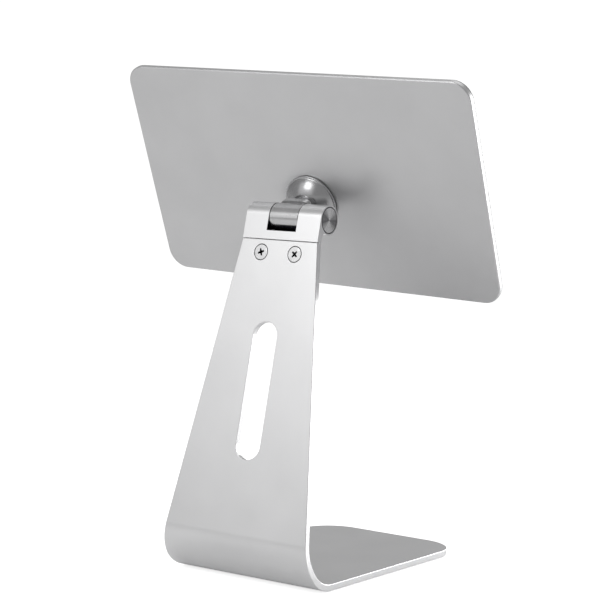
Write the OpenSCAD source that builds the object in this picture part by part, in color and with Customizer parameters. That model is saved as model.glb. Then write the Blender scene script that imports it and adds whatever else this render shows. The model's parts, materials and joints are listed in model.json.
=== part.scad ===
// Tablet stand: a bent sheet foot and column, a friction tilt hinge at its head,
// and a swivelling magnetic plate that a tablet clings to.
// X runs across the stand, -Y points to the side where the screen is, +Z is up.
// The origin is on the desk, under the centre of the foot.

/* [Foot and column] */
// Width of the foot
base_w = 106; // [84:1:150]
// Depth of the foot, from its front edge to the back of the bend
base_d = 170.4; // [136:0.2:210]
// Thickness of the bent sheet
sheet_t = 4; // [3:0.1:5]
// Radius of the two front corners of the foot
base_corner_r = 25; // [8:1:35]
// Outer radius of the bend between foot and column
bend_r = 24.5; // [18:0.5:32]
// Angle that the column leans forward from upright
lean = 12; // [4:0.5:18]
// Length of the column's back face, from the end of the bend to the seam
column_l = 172.5; // [140:0.5:220]
// Width of the column where it leaves the bend
column_foot_w = 101.2; // [80:0.2:130]
// Width of the column's top and of the hinge block on it
head_w = 53.8; // [46:0.2:66]

/* [Cable slot] */
// Width of the cable slot
slot_w = 17.2; // [8:0.2:24]
// Length of the cable slot from end to end
slot_l = 81.2; // [40:0.2:100]
// Distance from the end of the bend to the slot's lower end
slot_up = 42.7; // [20:0.1:50]

/* [Foot pad] */
// Thickness of the grip pad under the foot
pad_t = 1.2; // [0.8:0.1:2]
// Distance that the pad stands out below the foot
pad_proud = 0.4; // [0.2:0.1:0.7]
// Distance from the edge of the foot to the edge of the pad
pad_inset = 4; // [2:0.5:7]
// Corner radius at the back of the pad
pad_back_r = 3; // [1:0.5:6]

/* [Hinge block] */
// Radius of the round hinge barrel
barrel_r = 8.8; // [8.4:0.1:11]
// Height of the hinge axis above the seam, along the column
hinge_up = 14.8; // [13.5:0.1:20]
// Width of the notch between the two ears
notch_w = 20.8; // [18:0.2:24]
// Visible gap at the seam between column and block
seam_gap = 0.25; // [0.1:0.05:0.5]
// Thickness of the tongue that lies against the column's front
tongue_t = 4; // [3:0.1:5]
// Width of the tongue
tongue_w = 42; // [38:0.5:44]
// Length of the tongue below the seam
tongue_l = 16; // [15:0.5:24]
// Radius of the fillet under the barrel
web_fillet_r = 2; // [1:0.5:3]

/* [Column screws] */
// Nominal diameter of the column screws
screw_d = 5; // [4:0.5:5]
// Diameter of the countersunk screw heads
screw_head_d = 9.2; // [8:0.1:9.6]
// Distance between the two column screws
screw_spacing = 24.2; // [16:0.2:27]
// Distance from the seam down to the screws
screw_drop = 7.8; // [6.5:0.1:10]
// Width across the cross recess in a screw head
recess_w = 4.6; // [3:0.1:5]

/* [Tilt hinge] */
// Diameter of the hinge axle
axle_d = 6; // [5:0.5:7]
// Diameter of the pocket in each ear for the axle's head and nut
ear_pocket_d = 13; // [12.4:0.1:13.4]
// Thickness of an ear's inner wall, which the axle goes through
ear_wall = 7; // [5:0.1:8]
// Diameter of the axle's head
axle_head_d = 11; // [9:0.5:12]
// Thickness of the axle's head
axle_head_t = 3; // [2:0.1:3.5]
// Width across the flats of the axle's lock nut
nut_af = 10; // [9:0.5:10.5]
// Thickness of the lock nut
nut_t = 3.5; // [2.5:0.1:3.8]
// Outer diameter of the bush in the knuckle
bush_d = 9; // [8.5:0.1:10]
// Thickness of the friction washers beside the knuckle
side_washer_t = 0.75; // [0.5:0.05:1]
// Diameter of the friction washers beside the knuckle
side_washer_d = 14.4; // [12:0.1:15]
// Gap between each face of the knuckle and the ear beside it
side_gap = 0.3; // [0.2:0.05:0.5]
// Diameter of the disc at each end of the barrel
cap_d = 15.4; // [14.4:0.1:15.8]
// Thickness of the end discs
cap_t = 1.5; // [1:0.1:1.6]

/* [Swivel] */
// Angle that the plate leans back from upright
tilt = 24.5; // [0:0.5:60]
// Distance from the hinge axis to the back of the plate
reach = 22.1; // [21:0.1:28]
// Diameter of the neck where it meets the dome
neck_d = 15.2; // [13:0.1:17]
// Diameter of the dome's rim
dome_d = 35.2; // [33:0.1:40]
// Height of the dome above the back of the plate
dome_h = 8; // [7.2:0.1:9]
// Thickness of the dome's rim
rim_t = 1.2; // [0.8:0.1:1.6]
// Width of the step from the rim in to the dome
rim_step = 1.1; // [0.5:0.1:1.5]
// Thickness of the dark ring between the rim and the plate
ring_t = 0.4; // [0.3:0.1:0.6]
// Diameter of the steel flange on the plate
flange_d = 24.6; // [23.5:0.1:26]
// Thickness of the steel flange
flange_t = 3.1; // [2.8:0.1:3.4]
// Thickness of the friction disc between flange and dome
friction_t = 0.5; // [0.3:0.1:0.7]
// Diameter of the swivel bolt
bolt_d = 6; // [5:0.5:7]
// Diameter of the swivel bolt's head
bolt_head_d = 12; // [10:0.5:13]
// Thickness of the swivel bolt's head
bolt_head_t = 2; // [1.6:0.1:2.2]
// Diameter of the circle of flange screws
flange_screw_circle = 19.6; // [19.2:0.1:20]

/* [Magnetic plate] */
// Width of the plate
panel_w = 241.6; // [200:0.2:290]
// Height of the plate
panel_h = 137.8; // [112:0.2:165]
// Thickness of the plate's metal tray
panel_t = 3.2; // [3:0.1:4.5]
// Corner radius of the plate
panel_corner_r = 12; // [6:0.5:20]
// Chamfer round the back edge of the plate
panel_chamfer = 0.55; // [0.3:0.05:0.9]
// Height of the plate's centre above the swivel axis
panel_rise = 13.4; // [0:0.1:20]
// Angle that the plate is turned on its swivel
turn = 2; // [0:0.5:10]
// Thickness of the soft liner on the plate's front
liner_t = 1.1; // [0.8:0.1:1.5]
// Distance from the plate's edge to the liner's edge
liner_inset = 0.4; // [0.2:0.1:1]
// Width of one magnet
magnet_w = 9; // [7:0.5:11]
// Height of one magnet
magnet_h = 14; // [10:0.5:16]
// Thickness of the magnets
magnet_t = 1.8; // [1.2:0.1:1.8]
// Thickness of the steel keeper behind the magnets
keeper_t = 0.4; // [0.3:0.1:0.5]
// Number of magnets across one array
magnet_cols = 3; // [2:1:4]
// Number of magnets up one array
magnet_rows = 6; // [3:1:7]
// Gap between neighbouring magnets
magnet_gap = 1; // [0.5:0.1:2]
// Distance from the plate's side edge to its magnet array
array_inset = 16; // [12:0.5:24]

/* [Hidden] */
$fn = 96;

// How far a cutting shape runs past the face that it cuts
past = 1;
// Clearance of a screw or plug in the hole that holds it
hold_clear = 0.03;
// Clearance round a shaft that turns in its hole
run_clear = 0.05;
// Clearance round a piece that drops loosely into a pocket
drop_clear = 0.2;
// Film of grease between two flat faces that slide on each other
face_clear = 0.03;

// Foot and bend
foot_z = pad_proud;
bend_y = base_d / 2 - bend_r;
bend_z = foot_z + bend_r;
bend_steps = 36;
pad_recess = pad_t - pad_proud;
pad_w = base_w - 2 * pad_inset;
pad_d = base_d - bend_r - 2 * pad_inset;
pad_y = bend_y - pad_inset - pad_d / 2;

// Column: how far its half width shrinks along its length, and where that starts
taper = (column_foot_w - head_w) / 2 / column_l;
taper_start = -(base_w - column_foot_w) / 2 / taper;

// Hinge block, measured from the hinge axis
web_y = barrel_r - sheet_t;
tongue_y = web_y - tongue_t;
seam_z = -hinge_up;
knuckle_clear = 0.5;
notch_floor = -(barrel_r + knuckle_clear);
ear_in = notch_w / 2;
ear_out = head_w / 2;
pocket_in = ear_in + ear_wall;
cap_in = ear_out - cap_t;

// Column screws: they end flush with the front of the tongue
screw_grip = sheet_t + tongue_t;
screw_sink = (screw_head_d - screw_d) / 2;
head_ring = 0.12;
recess_depth = 2;
recess_slot = 1.1;

// Hinge axle stack on the nut's side
axle_washer_t = 0.6;
spring_t = 0.5;
spring_dish = 0.3;
spring_pitch = spring_t + spring_dish;
spring_count = 2;
spring_out_d = 11.8;
spring_bore_d = axle_d + 2 * drop_clear;
stack_in = pocket_in + axle_washer_t;
stack_out = stack_in + spring_count * spring_pitch;
nut_in = stack_out;
axle_end = nut_in + nut_t + 0.4;
axle_bore_d = axle_d + 2 * run_clear;

// Knuckle and neck
knuckle_w = notch_w - 2 * side_gap;
washer_in = ear_in - side_washer_t - face_clear;
neck_flare_r = 3;
dome_seat = reach - dome_h;
spigot_d = 10;
// The spigot stops short of the friction disc, so the bolt draws the dome against the neck
spigot_l = dome_h - flange_t - friction_t - 0.6;
bolt_hole_end = 14;
bolt_end = 13;

// Dome: a cap of a sphere that runs from the step at its rim to its flat top
dome_top_r = neck_d / 2 + 1;
dome_foot_r = dome_d / 2 - rim_step;
rim_top = ring_t + rim_t;
sphere_z = (dome_foot_r * dome_foot_r - dome_top_r * dome_top_r + rim_top * rim_top - dome_h * dome_h)
    / (2 * (rim_top - dome_h));
sphere_r = sqrt(dome_foot_r * dome_foot_r + (rim_top - sphere_z) * (rim_top - sphere_z));
dome_floor = flange_t + friction_t;
cavity_d = flange_d + 3 * drop_clear;
ring_w = 2;
ring_inset = 0.5;

// Swivel bolt stack, from the plate's back towards its front
bolt_spring_d = bolt_head_d + 1;
flange_pocket_d = bolt_spring_d + 1.4;
flange_web = 1.6;
bolt_spring_t = 0.4;
bolt_spring_dish = 0.25;
bolt_spring_count = 2;
bolt_washer_t = 0.5;
bolt_spring_end = flange_t - flange_web - face_clear;
bolt_washer_top = bolt_spring_end - bolt_spring_count * (bolt_spring_t + bolt_spring_dish);
bolt_head_top = bolt_washer_top - bolt_washer_t;
bolt_socket_af = 4;
bolt_socket_depth = 1.4;

// Flange screws
flange_screw_d = 3;
flange_screw_head_d = 4.8;
flange_screw_l = panel_t + 2.2;
flange_screw_count = 4;

// Magnet arrays
pocket_t = magnet_t + keeper_t;
array_w = magnet_cols * magnet_w + (magnet_cols - 1) * magnet_gap;
array_h = magnet_rows * magnet_h + (magnet_rows - 1) * magnet_gap;
array_x = panel_w / 2 - array_inset - array_w / 2;
array_corner_r = 1.5;

// ---- Frames of reference ----

// The column's own frame: its back face is y = 0 and the bend ends at z = 0
module on_column() {
    translate([0, bend_y, bend_z]) rotate([lean, 0, 0]) translate([0, bend_r, 0]) children();
}

// The hinge block's frame: the column's frame moved to the hinge axis
module on_hinge() {
    on_column() translate([0, -barrel_r, column_l + hinge_up]) children();
}

// The arm's frame: on the hinge axis, with -Y pointing along the neck to the plate
module on_arm() {
    on_hinge() rotate([-lean - tilt, 0, 0]) children();
}

// The swivel's frame: z = 0 is the back of the plate and +Z points to the hinge
module on_swivel() {
    on_arm() translate([0, -reach, 0]) rotate([-90, 0, 0]) children();
}

// The plate's frame: the swivel's frame, turned, with its origin at the plate's centre
module on_panel() {
    on_swivel() rotate([0, 0, -turn]) translate([0, -panel_rise, 0]) children();
}

// Puts a shape that stands along +Z onto the X axis, pointing to side +1 or -1
module along_x(side) {
    rotate([0, side * 90, 0]) children();
}

// ---- Shared shapes ----

// A rectangle with four round corners
module round_rect(w, h, r) {
    square([w - 2 * r, h], center = true);
    square([w, h - 2 * r], center = true);
    for (sx = [-1, 1])
        for (sy = [-1, 1])
            translate([sx * (w / 2 - r), sy * (h / 2 - r)]) circle(r);
}

// A flat washer that stands on z = 0
module washer(outer_d, inner_d, t) {
    difference() {
        cylinder(d = outer_d, h = t);
        translate([0, 0, -past]) cylinder(d = inner_d, h = t + 2 * past);
    }
}

// One disc spring that stands on z = 0, with its wide edge down
module disc_spring(outer_d, inner_d, t, dish) {
    rotate_extrude()
        polygon([
            [inner_d / 2, dish],
            [outer_d / 2, 0],
            [outer_d / 2, t],
            [inner_d / 2, t + dish]
        ]);
}

// Disc springs in series, back to back
module spring_stack(count, outer_d, inner_d, t, dish) {
    for (i = [0 : count - 1])
        translate([0, 0, i * (t + dish)])
            if (i % 2 == 0)
                disc_spring(outer_d, inner_d, t, dish);
            else
                translate([0, 0, t + dish])
                    mirror([0, 0, 1])
                        disc_spring(outer_d, inner_d, t, dish);
}

// The cone and shank of a countersunk screw, head at z = 0, pointing down
module countersunk(d, head_d, l, grow = 0) {
    sink = (head_d - d) / 2;
    translate([0, 0, -sink]) cylinder(d1 = d + 2 * grow, d2 = head_d + 2 * grow, h = sink);
    translate([0, 0, -l]) cylinder(d = d + 2 * grow, h = l - sink + grow);
}

// ---- Foot and column ----

// Points along the bend at radius r, from under its centre round to the column
function bend_points(r) = [
    for (i = [0 : bend_steps])
        let (a = -90 + i * (90 + lean) / bend_steps)
            [bend_y + r * cos(a), bend_z + r * sin(a)]
];

// The point on the side view that is r out from the bend's centre and l up the column
function column_point(r, l) = [
    bend_y + r * cos(lean) - l * sin(lean),
    bend_z + r * sin(lean) + l * cos(lean)
];

// The bent sheet seen from the side: foot, bend and column in one line
module sheet_profile() {
    inner = bend_points(bend_r - sheet_t);
    polygon(concat(
        [[-base_d / 2, foot_z]],
        bend_points(bend_r),
        [column_point(bend_r, column_l), column_point(bend_r - sheet_t, column_l)],
        [for (i = [bend_steps : -1 : 0]) inner[i]],
        [[-base_d / 2, foot_z + sheet_t]]
    ));
}

// The outline of the cable slot
module slot_outline() {
    straight = slot_l - slot_w;
    square([slot_w, straight], center = true);
    for (end = [-1, 1])
        translate([0, end * straight / 2]) circle(d = slot_w);
}

// What is cut away to round a corner that points to +X and -Y, with the arc's centre at 0
module corner_waste(r) {
    difference() {
        translate([0, -r - past]) square(r + past);
        circle(r);
    }
}

// What is cut away beside the column on the +X side
module taper_waste() {
    top = column_l + past;
    polygon([
        [base_w / 2, taper_start],
        [column_foot_w / 2 - taper * top, top],
        [base_w, top],
        [base_w, taper_start]
    ]);
}

// The pad's outline: wide corners in front, small corners at the back
module pad_outline(grow = 0) {
    w = pad_w + 2 * grow;
    d = pad_d + 2 * grow;
    front_r = base_corner_r - pad_inset + grow;
    translate([0, pad_y]) difference() {
        square([w, d], center = true);
        for (side = [0, 1])
            mirror([side, 0]) {
                translate([w / 2 - front_r, front_r - d / 2]) corner_waste(front_r);
                mirror([0, 1])
                    translate([w / 2 - pad_back_r, pad_back_r - d / 2]) corner_waste(pad_back_r);
            }
    }
}

module at_column_screws() {
    on_column()
        for (side = [-1, 1])
            translate([side * screw_spacing / 2, 0, column_l - screw_drop])
                rotate([-90, 0, 0]) children();
}

module stand_body() {
    color([0.82, 0.82, 0.83])
    difference() {
        rotate([90, 0, 90]) translate([0, 0, -base_w / 2])
            linear_extrude(base_w) sheet_profile();
        for (side = [0, 1])
            mirror([side, 0, 0]) {
                translate([base_w / 2 - base_corner_r, base_corner_r - base_d / 2, -past])
                    linear_extrude(foot_z + sheet_t + 2 * past) corner_waste(base_corner_r);
                on_column() rotate([90, 0, 0]) translate([0, 0, -past])
                    linear_extrude(bend_r) taper_waste();
            }
        on_column() translate([0, past, slot_up + slot_l / 2]) rotate([90, 0, 0])
            linear_extrude(sheet_t + 2 * past) slot_outline();
        at_column_screws() countersunk(screw_d, screw_head_d, sheet_t + past, head_ring);
        translate([0, 0, foot_z - past])
            linear_extrude(pad_recess + past) pad_outline(drop_clear);
    }
}

module base_pad() {
    color([0.12, 0.12, 0.13])
    linear_extrude(pad_t) pad_outline();
}

// ---- Hinge block and what holds it ----

// The side view of an ear: round barrel, flush web and the fillet between them
module ear_profile() {
    fillet_y = web_y - web_fillet_r;
    fillet_z = -sqrt((barrel_r + web_fillet_r) * (barrel_r + web_fillet_r) - fillet_y * fillet_y);
    circle(barrel_r);
    translate([web_y, seam_z + seam_gap]) square([sheet_t, hinge_up - seam_gap]);
    difference() {
        polygon([[0, 0], [web_y, 0], [web_y, fillet_z], [fillet_y, fillet_z]]);
        translate([fillet_y, fillet_z]) circle(web_fillet_r);
    }
}

// The tongue that lies against the column's front and is one piece with the web
module tongue_profile() {
    translate([tongue_y, seam_z - tongue_l]) square([tongue_t, tongue_l + hinge_up]);
}

module hinge_block() {
    color([0.84, 0.84, 0.85])
    difference() {
        on_hinge() {
            rotate([90, 0, 90]) translate([0, 0, -head_w / 2])
                linear_extrude(head_w) ear_profile();
            rotate([90, 0, 90]) translate([0, 0, -tongue_w / 2])
                linear_extrude(tongue_w) tongue_profile();
        }
        on_hinge() {
            translate([-notch_w / 2, -2 * barrel_r, notch_floor])
                cube([notch_w, 4 * barrel_r, 4 * barrel_r]);
            along_x(1) translate([0, 0, -head_w]) cylinder(d = axle_bore_d, h = 2 * head_w);
            for (side = [-1, 1])
                along_x(side) {
                    translate([0, 0, pocket_in]) cylinder(d = ear_pocket_d, h = ear_out);
                    translate([0, 0, cap_in]) cylinder(d = cap_d + 2 * hold_clear, h = ear_out);
                }
        }
        at_column_screws() translate([0, 0, -screw_grip - past])
            cylinder(d = screw_d + 2 * hold_clear, h = screw_grip + 2 * past);
    }
}

// One cross-recessed countersunk screw, head at z = 0
module cross_screw(spin) {
    difference() {
        countersunk(screw_d, screw_head_d, screw_grip);
        rotate(spin)
            for (quarter = [0, 90])
                rotate(quarter) translate([-recess_w / 2, -recess_slot / 2, -recess_depth])
                    cube([recess_w, recess_slot, recess_depth + past]);
    }
}

module column_screws() {
    color([0.75, 0.75, 0.77])
    on_column()
        for (side = [-1, 1])
            translate([side * screw_spacing / 2, 0, column_l - screw_drop])
                rotate([-90, 0, 0]) cross_screw(side > 0 ? 20 : 50);
}

// ---- Tilt hinge ----

module hinge_axle() {
    socket_af = 4;
    socket_depth = 2;
    color([0.6, 0.6, 0.62])
    on_hinge() difference() {
        union() {
            along_x(1) translate([0, 0, -axle_end])
                cylinder(d = axle_d, h = axle_end + pocket_in + past);
            along_x(1) translate([0, 0, pocket_in]) cylinder(d = axle_head_d, h = axle_head_t);
        }
        along_x(1) translate([0, 0, pocket_in + axle_head_t - socket_depth])
            cylinder(d = socket_af / cos(30), h = socket_depth + past, $fn = 6);
    }
}

module axle_washers() {
    color([0.7, 0.7, 0.72])
    on_hinge() along_x(-1) translate([0, 0, pocket_in])
        washer(spring_out_d, spring_bore_d, axle_washer_t);
}

module axle_springs() {
    color([0.5, 0.5, 0.53])
    on_hinge() along_x(-1) translate([0, 0, stack_in])
        spring_stack(spring_count, spring_out_d, spring_bore_d, spring_t, spring_dish);
}

module axle_nut() {
    color([0.65, 0.65, 0.67])
    on_hinge() along_x(-1) translate([0, 0, nut_in])
        difference() {
            cylinder(d = nut_af / cos(30), h = nut_t, $fn = 6);
            translate([0, 0, -past]) cylinder(d = axle_d + 2 * hold_clear, h = nut_t + 2 * past);
        }
}

module end_cap(side) {
    edge = 0.3;
    color([0.5, 0.5, 0.51])
    on_hinge() along_x(side) translate([0, 0, cap_in]) {
        cylinder(d = cap_d, h = cap_t - edge);
        translate([0, 0, cap_t - edge]) cylinder(d1 = cap_d, d2 = cap_d - 2 * edge, h = edge);
    }
}

module end_cap_left() {
    end_cap(1);
}

module end_cap_right() {
    end_cap(-1);
}

// The neck's outline of revolution, from the barrel's middle up to the dome's seat
module neck_profile() {
    neck_r = neck_d / 2;
    square([neck_r, dome_seat]);
    difference() {
        square([neck_r + neck_flare_r, dome_seat]);
        translate([neck_r + neck_flare_r, dome_seat - past / 2]) circle(neck_flare_r);
        translate([neck_r, dome_seat - past / 2]) square([2 * neck_flare_r, past]);
    }
}

module tilt_knuckle() {
    color([0.66, 0.66, 0.67])
    on_arm() difference() {
        union() {
            along_x(1) translate([0, 0, -knuckle_w / 2]) cylinder(r = barrel_r, h = knuckle_w);
            intersection() {
                rotate([90, 0, 0]) rotate_extrude() neck_profile();
                translate([-knuckle_w / 2, -reach, -barrel_r])
                    cube([knuckle_w, 2 * reach, 2 * barrel_r]);
            }
            rotate([90, 0, 0]) cylinder(d = spigot_d, h = dome_seat + spigot_l);
        }
        along_x(1) translate([0, 0, -knuckle_w])
            cylinder(d = bush_d + 2 * hold_clear, h = 2 * knuckle_w);
        for (side = [-1, 1])
            along_x(side) translate([0, 0, washer_in])
                cylinder(d = side_washer_d + 2 * drop_clear, h = knuckle_w);
        translate([0, bolt_hole_end - reach, 0]) rotate([90, 0, 0])
            cylinder(d = bolt_d + 2 * hold_clear, h = reach);
    }
}

module knuckle_bush() {
    color([0.72, 0.53, 0.28])
    on_arm() along_x(1) translate([0, 0, -washer_in])
        washer(bush_d, axle_bore_d, 2 * washer_in);
}

module side_washer(side) {
    color([0.15, 0.15, 0.16])
    on_arm() along_x(side) translate([0, 0, washer_in])
        washer(side_washer_d, spring_bore_d, side_washer_t);
}

module side_washer_left() {
    side_washer(1);
}

module side_washer_right() {
    side_washer(-1);
}

// ---- Swivel ----

module swivel_dome() {
    color([0.68, 0.68, 0.69])
    on_swivel() rotate_extrude() difference() {
        union() {
            translate([0, ring_t]) square([dome_d / 2, rim_t]);
            intersection() {
                translate([0, sphere_z]) circle(sphere_r);
                translate([0, ring_t]) square([dome_foot_r, dome_h - ring_t]);
            }
        }
        translate([-past, -past]) square([spigot_d / 2 + hold_clear + past, dome_h + 2 * past]);
        translate([-past, -past]) square([cavity_d / 2 + past, dome_floor + past]);
    }
}

module dome_ring() {
    ring_d = dome_d - 2 * ring_inset;
    color([0.05, 0.05, 0.05])
    on_swivel() translate([0, 0, face_clear])
        washer(ring_d, ring_d - 2 * ring_w, ring_t - face_clear);
}

module friction_disc() {
    color([0.85, 0.84, 0.8])
    on_swivel() translate([0, 0, flange_t + face_clear])
        washer(flange_d - 2 * drop_clear, spigot_d + 2 * drop_clear, friction_t - face_clear);
}

module swivel_bolt() {
    color([0.55, 0.55, 0.57])
    on_swivel() difference() {
        union() {
            translate([0, 0, bolt_head_top - bolt_head_t]) cylinder(d = bolt_head_d, h = bolt_head_t);
            translate([0, 0, bolt_head_top - past])
                cylinder(d = bolt_d, h = bolt_end - bolt_head_top + past);
        }
        translate([0, 0, bolt_head_top - bolt_head_t - past])
            cylinder(d = bolt_socket_af / cos(30), h = bolt_socket_depth + past, $fn = 6);
    }
}

module bolt_washer() {
    color([0.7, 0.7, 0.72])
    on_swivel() translate([0, 0, bolt_head_top])
        washer(bolt_spring_d, bolt_d + 2 * drop_clear, bolt_washer_t);
}

module bolt_springs() {
    color([0.5, 0.5, 0.53])
    on_swivel() translate([0, 0, bolt_washer_top])
        spring_stack(
            bolt_spring_count, bolt_spring_d, bolt_d + 2 * drop_clear, bolt_spring_t, bolt_spring_dish
        );
}

module at_flange_screws() {
    on_swivel() rotate([0, 0, -turn])
        for (i = [0 : flange_screw_count - 1])
            rotate([0, 0, 45 + i * 360 / flange_screw_count])
                translate([flange_screw_circle / 2, 0, -panel_t])
                    rotate([180, 0, 0]) children();
}

module swivel_flange() {
    color([0.6, 0.6, 0.62])
    difference() {
        on_swivel() difference() {
            cylinder(d = flange_d, h = flange_t);
            translate([0, 0, -past]) cylinder(d = flange_pocket_d, h = flange_t - flange_web + past);
            cylinder(d = bolt_d + 2 * run_clear, h = flange_t + past);
        }
        at_flange_screws() translate([0, 0, -flange_screw_l])
            cylinder(d = flange_screw_d + 2 * hold_clear, h = flange_screw_l);
    }
}

module flange_screws() {
    socket_af = 2;
    socket_depth = 1;
    color([0.3, 0.3, 0.32])
    at_flange_screws() difference() {
        countersunk(flange_screw_d, flange_screw_head_d, flange_screw_l);
        translate([0, 0, -socket_depth])
            cylinder(d = socket_af / cos(30), h = socket_depth + past, $fn = 6);
    }
}

// ---- Magnetic plate ----

// A rounded slab from z = -t to z = 0 with a chamfer round its upper edge
module chamfered_slab(w, h, r, t, chamfer) {
    module half_profile(size) {
        polygon([
            [-size / 2, -t],
            [size / 2, -t],
            [size / 2, -chamfer],
            [size / 2 - chamfer, 0],
            [chamfer - size / 2, 0],
            [-size / 2, -chamfer]
        ]);
    }
    rotate([90, 0, 0]) translate([0, 0, r - h / 2]) linear_extrude(h - 2 * r) half_profile(w);
    rotate([90, 0, 90]) translate([0, 0, r - w / 2]) linear_extrude(w - 2 * r) half_profile(h);
    for (sx = [-1, 1])
        for (sy = [-1, 1])
            translate([sx * (w / 2 - r), sy * (h / 2 - r), 0]) {
                translate([0, 0, -t]) cylinder(r = r, h = t - chamfer);
                translate([0, 0, -chamfer]) cylinder(r1 = r, r2 = r - chamfer, h = chamfer);
            }
}

module plate_tray() {
    color([0.7, 0.7, 0.71])
    difference() {
        on_panel() chamfered_slab(panel_w, panel_h, panel_corner_r, panel_t, panel_chamfer);
        on_panel()
            for (side = [-1, 1])
                translate([side * array_x, 0, -panel_t - past])
                    linear_extrude(pocket_t + past)
                        round_rect(array_w + 2 * drop_clear, array_h + 2 * drop_clear, array_corner_r);
        on_swivel() translate([0, 0, -panel_t - past])
            cylinder(d = flange_pocket_d, h = panel_t + 2 * past);
        at_flange_screws() countersunk(flange_screw_d, flange_screw_head_d, panel_t + past, hold_clear);
    }
}

module plate_liner() {
    color([0.07, 0.07, 0.08])
    on_panel() translate([0, 0, -panel_t - liner_t])
        linear_extrude(liner_t)
            round_rect(
                panel_w - 2 * liner_inset, panel_h - 2 * liner_inset, panel_corner_r - liner_inset
            );
}

module keeper(side) {
    color([0.45, 0.45, 0.48])
    on_panel() translate([side * array_x, 0, pocket_t - panel_t - keeper_t])
        linear_extrude(keeper_t) round_rect(array_w, array_h, array_corner_r);
}

module keeper_left() {
    keeper(1);
}

module keeper_right() {
    keeper(-1);
}

module magnets(side) {
    color([0.35, 0.36, 0.4])
    on_panel()
        for (col = [0 : magnet_cols - 1])
            for (row = [0 : magnet_rows - 1])
                translate([
                    side * array_x - array_w / 2 + col * (magnet_w + magnet_gap),
                    -array_h / 2 + row * (magnet_h + magnet_gap),
                    -panel_t
                ])
                    cube([magnet_w, magnet_h, magnet_t]);
}

module magnets_left() {
    magnets(1);
}

module magnets_right() {
    magnets(-1);
}

stand_body();
base_pad();
hinge_block();
column_screws();
hinge_axle();
axle_washers();
axle_springs();
axle_nut();
end_cap_left();
end_cap_right();
tilt_knuckle();
knuckle_bush();
side_washer_left();
side_washer_right();
swivel_dome();
dome_ring();
friction_disc();
swivel_bolt();
bolt_washer();
bolt_springs();
swivel_flange();
flange_screws();
plate_tray();
plate_liner();
keeper_left();
keeper_right();
magnets_left();
magnets_right();
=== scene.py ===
"""Looks of the tablet stand: finished meshes, materials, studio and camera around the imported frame.

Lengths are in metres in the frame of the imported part: X runs across the stand, -Y points to the
screen's side and +Z is up. The origin is on the desk, under the centre of the foot.
"""

import json
import math

import bmesh
import bpy
from mathutils import Matrix, Vector
from mathutils.geometry import tessellate_polygon


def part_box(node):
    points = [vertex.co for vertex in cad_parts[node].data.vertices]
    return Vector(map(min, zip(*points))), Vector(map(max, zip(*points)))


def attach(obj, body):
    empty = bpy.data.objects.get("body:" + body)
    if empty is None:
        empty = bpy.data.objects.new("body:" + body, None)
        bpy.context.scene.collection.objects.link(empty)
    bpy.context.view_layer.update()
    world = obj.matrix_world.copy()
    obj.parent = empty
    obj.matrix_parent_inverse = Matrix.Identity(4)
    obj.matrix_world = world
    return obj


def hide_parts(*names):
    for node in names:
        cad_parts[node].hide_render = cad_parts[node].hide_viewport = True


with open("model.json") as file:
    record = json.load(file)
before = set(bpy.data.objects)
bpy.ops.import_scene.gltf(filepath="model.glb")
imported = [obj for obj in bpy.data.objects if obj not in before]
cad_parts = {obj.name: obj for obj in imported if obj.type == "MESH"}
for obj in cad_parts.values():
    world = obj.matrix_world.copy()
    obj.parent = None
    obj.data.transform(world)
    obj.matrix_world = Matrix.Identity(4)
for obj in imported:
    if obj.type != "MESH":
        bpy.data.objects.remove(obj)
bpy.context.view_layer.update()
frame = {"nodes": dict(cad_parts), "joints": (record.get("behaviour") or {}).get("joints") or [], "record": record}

MM = 0.001
ACROSS = Vector((1, 0, 0))

# ---- Design sizes that the frame's boxes don't give ----

SHEET_T = 4 * MM
BEND_R = 24.5 * MM
FRONT_R = 25 * MM
LEAN = math.radians(12)
COLUMN_L = 172.5 * MM
COLUMN_FOOT_W = 101.2 * MM
SLOT_W = 17.2 * MM
SLOT_L = 81.2 * MM
SLOT_UP = 42.7 * MM
PAD_FRONT_R = 21 * MM
PAD_BACK_R = 3 * MM
PAD_GAP = 0.2 * MM

SCREW_D = 5 * MM
SCREW_HEAD_D = 9.2 * MM
SCREW_SPACING = 24.2 * MM
SCREW_DROP = 7.8 * MM
SCREW_RING = 0.36 * MM
CROSS_ARM = 2.3 * MM
CROSS_W = 1.05 * MM
SCREW_TURNS = {1: math.radians(20), -1: math.radians(50)}

BARREL_R = 8.8 * MM
NOTCH_W = 20.8 * MM
NOTCH_FLOOR = -9.3 * MM
SEAM_GAP = 0.25 * MM
TONGUE_T = 4 * MM
TONGUE_W = 42 * MM
TONGUE_L = 16 * MM
WEB_FILLET_R = 2 * MM
AXLE_BORE_D = 6.1 * MM
EAR_POCKET_D = 13 * MM
EAR_WALL = 7 * MM
CAP_GAP = 0.28 * MM
# How far in from the end disc's edge the painted seam shade reaches.
SEAM_SHADE_INSET = 0.35 * MM

KNUCKLE_W = 20.2 * MM
BUSH_D = 9.06 * MM
NECK_R = 7.6 * MM
NECK_FLARE_L = 5 * MM
NECK_SQUARE = 6
NECK_STEPS = 144
WASHER_RECESS_D = 14.8 * MM
DOME_D = 35.2 * MM
DOME_H = 8 * MM
RIM_T = 1.2 * MM
RIM_STEP = 1.1 * MM
RING_T = 0.4 * MM
SPIGOT_D = 10 * MM
CAVITY_D = 25.2 * MM
DOME_FLOOR = 3.6 * MM

PANEL_W = 241.6 * MM
PANEL_H = 137.8 * MM
PANEL_T = 3.2 * MM
PANEL_R = 12 * MM
PANEL_CHAMFER = 0.55 * MM
LINER_T = 1.1 * MM
LINER_INSET = 0.4 * MM
FLANGE_POCKET_D = 14.4 * MM

EDGE = 0.45 * MM
FINE_EDGE = 0.2 * MM


# ---- Frames of reference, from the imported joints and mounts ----


def axes(origin, x, y, z):
    """The matrix that places a local frame with these axes at origin."""
    return Matrix.Translation(origin) @ Matrix((x, y, z)).transposed().to_4x4()


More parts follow.
